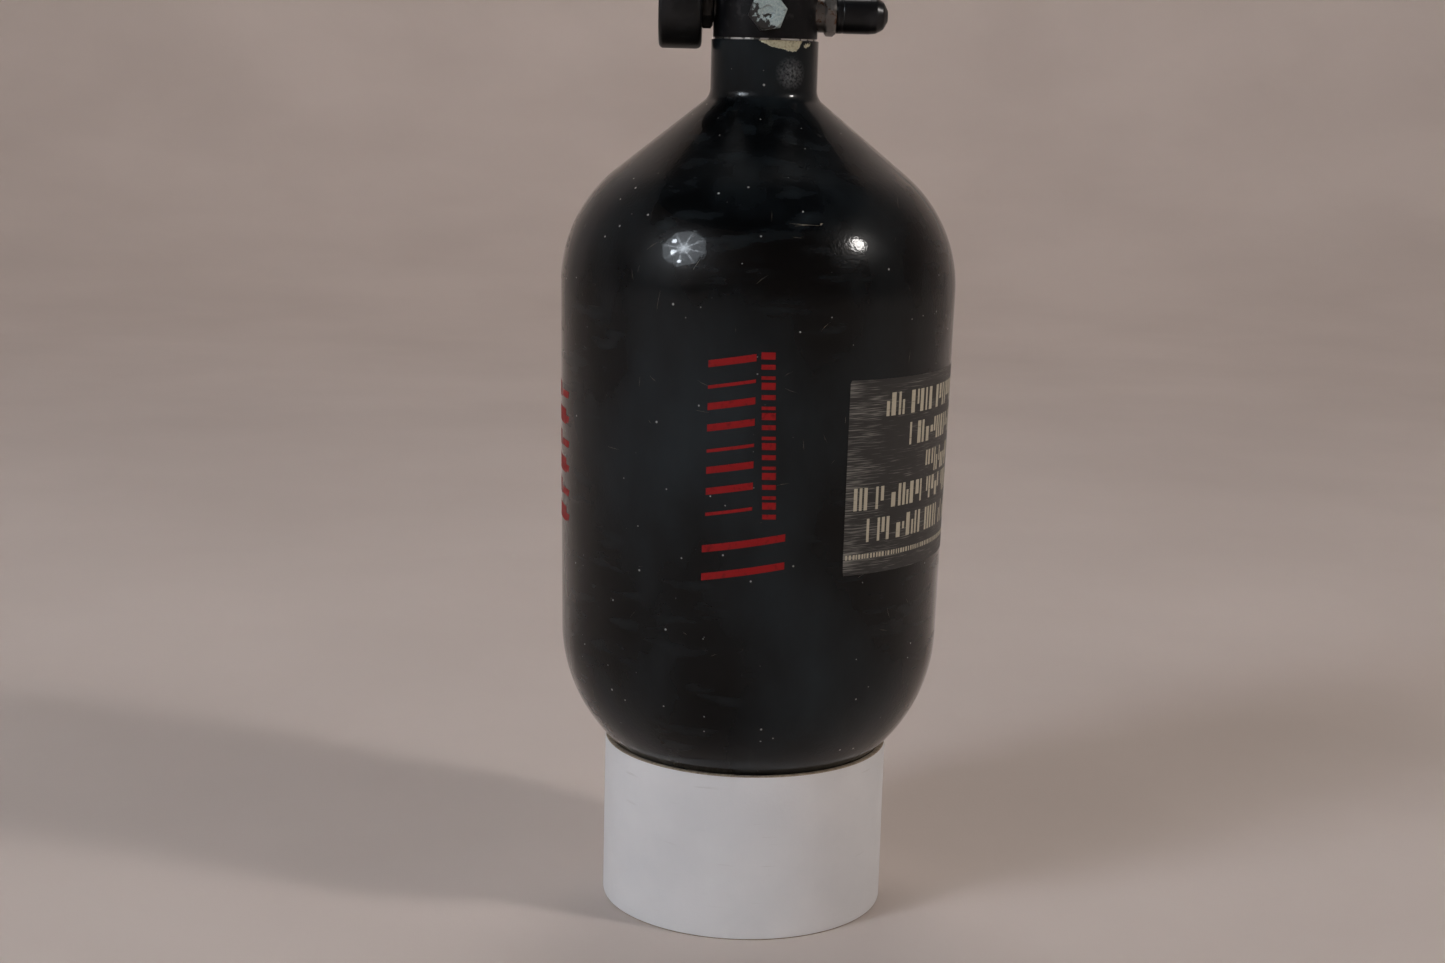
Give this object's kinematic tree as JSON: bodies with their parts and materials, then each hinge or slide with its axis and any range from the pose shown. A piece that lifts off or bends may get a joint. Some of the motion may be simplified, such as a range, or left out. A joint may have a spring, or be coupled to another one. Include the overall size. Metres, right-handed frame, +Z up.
{
  "type": "high-pressure air tank",
  "caption": "Round-ended composite air bottle with a screwed-in piston regulator, pressure gauge and capped fill nipple, standing in a paper-wrapped cardboard ring.",
  "frame": {"origin": "centre of the stand ring's foot, on the surface that it stands on", "axes": "+Z up along the axis shared by ring, bottle and regulator; -Y is the front, with the hexagonal burst plug and the red graphic; +X the fill nipple; -X the gauge"},
  "size_m": [0.1138, 0.1138, 0.3145],
  "materials": {
    "board": "brown pasteboard with a cut, layered rim",
    "paper": "matte white wrap, slightly cockled",
    "coat": "deep gloss black resin coat with fine scratches, dust and smears",
    "carbon": "carbon fibre hoop and helical windings in resin",
    "liner_alloy": "spun aluminium, machined bright at the neck's lip",
    "spec_film": "gloss black film with pale print, scuffed along its length",
    "red_print": "dark red gloss print",
    "anodised": "satin black anodised, with fine lathe rings",
    "seal_rubber": "black nitrile",
    "tank_seal": "amber polyurethane ring",
    "brass": "turned brass",
    "seat_polymer": "off-white seat polymer",
    "piston_steel": "turned stainless steel",
    "spring_steel": "oiled spring steel",
    "plug_nickel": "blue-grey plating, grainy, worn dark at the edges",
    "copper": "soft copper",
    "nipple_steel": "blackened steel worn to brown on the hexagon's edges",
    "filter_bronze": "sintered bronze",
    "cap_rubber": "smooth black rubber",
    "boot_rubber": "matte black moulded rubber",
    "gauge_brass": "brass, dulled",
    "case_black": "black painted steel",
    "dial_white": "white painted face with black marks",
    "needle_red": "red painted pointer",
    "lens_clear": "clear window"
  },
  "bodies": {
    "stand": {"stand_core": "board", "stand_wrap": "paper"},
    "tank": {"outer_coat": "coat", "carbon_wrap": "carbon", "liner": "liner_alloy", "spec_panel": "spec_film", "front_panel": "red_print", "side_panel": "red_print", "regulator_body": "anodised", "bonnet": "anodised", "neck_ring": "seal_rubber", "stem_ring": "seal_rubber", "inlet_ring": "seal_rubber", "tank_ring": "tank_seal", "seat_holder": "brass", "valve_seat": "seat_polymer", "spring_washers": "spring_steel", "pin_sleeve": "brass", "pin_spring": "spring_steel", "high_burst_plug": "plug_nickel", "high_burst_disc": "copper", "high_burst_washer": "copper", "low_burst_plug": "plug_nickel", "low_burst_disc": "copper", "low_burst_washer": "copper", "fill_nipple": "nipple_steel", "check_spring": "spring_steel", "inlet_filter": "filter_bronze", "gauge_boot": "boot_rubber", "gauge_stem": "gauge_brass", "gauge_case": "case_black", "bourdon_tube": "gauge_brass", "gauge_dial": "dial_white", "gauge_lens": "lens_clear"},
    "piston": {"piston": "piston_steel", "piston_ring": "seal_rubber"},
    "valve_pin": {"valve_pin": "brass", "pin_seal": "seat_polymer"},
    "check_poppet": {"check_poppet": "brass"},
    "needle": {"gauge_needle": "needle_red"},
    "cap": {"nipple_cap": "cap_rubber"}
  },
  "joints": [
    {"name": "tank_lift", "type": "slide", "parent": "stand", "child": "tank", "axis": [0, 0, 1], "range_m": [0, 0.06]},
    {"name": "piston_travel", "type": "slide", "parent": "tank", "child": "piston", "axis": [0, 0, -1], "range_m": [0, 0.0009], "stiffness_N_per_m": 20000, "springref_m": -0.0004, "deforming": ["spring_washers"]},
    {"name": "pin_press", "type": "slide", "parent": "tank", "child": "valve_pin", "axis": [0, 0, -1], "range_m": [0, 0.0025], "stiffness_N_per_m": 1500, "springref_m": -0.002, "deforming": ["pin_spring"]},
    {"name": "check_open", "type": "slide", "parent": "tank", "child": "check_poppet", "axis": [-1, 0, 0], "range_m": [0, 0.0015], "stiffness_N_per_m": 300, "springref_m": -0.001, "deforming": ["check_spring"]},
    {"name": "needle_turn", "type": "hinge", "parent": "tank", "child": "needle", "pos_m": [-0.0265, 0, 0.2626], "axis": [1, 0, 0], "range_deg": [0, 270], "stiffness_Nm_per_rad": 0.0005, "springref_deg": -5.73},
    {"name": "cap_pull", "type": "slide", "parent": "tank", "child": "cap", "axis": [1, 0, 0], "range_m": [0, 0.02]}
  ]
}
